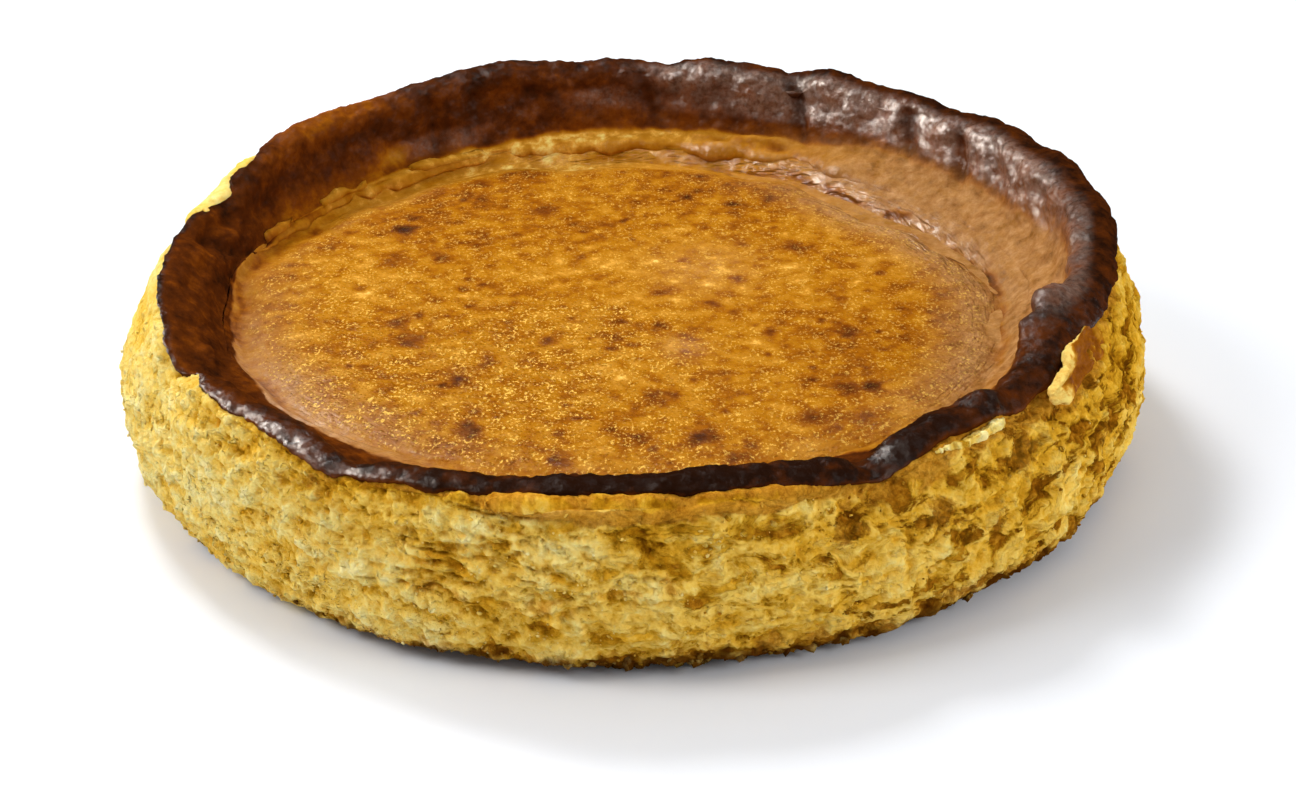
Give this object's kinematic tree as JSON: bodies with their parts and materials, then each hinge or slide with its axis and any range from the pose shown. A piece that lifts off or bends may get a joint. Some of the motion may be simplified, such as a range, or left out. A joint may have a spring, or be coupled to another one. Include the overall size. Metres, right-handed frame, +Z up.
{
  "type": "basque cheesecake",
  "caption": "Whole round Basque cheesecake with a crumbly bulging yellow side, an uneven burnt rim that folds and curls over, and a sunken caramel-brown top.",
  "frame": {"origin": "middle of the flat base, on the surface that the cake stands on", "axes": "+Z up, +X to the cake's right and +Y to its back, where the rim stands highest"},
  "size_m": [0.2599, 0.2575, 0.0608],
  "materials": {
    "crumb": "matte, moist and crumbly, with browned flakes",
    "burnt_skin": "satin to glossy, from caramel to almost black"
  },
  "bodies": {
    "root": {"cheesecake": "crumb"}
  },
  "joints": []
}
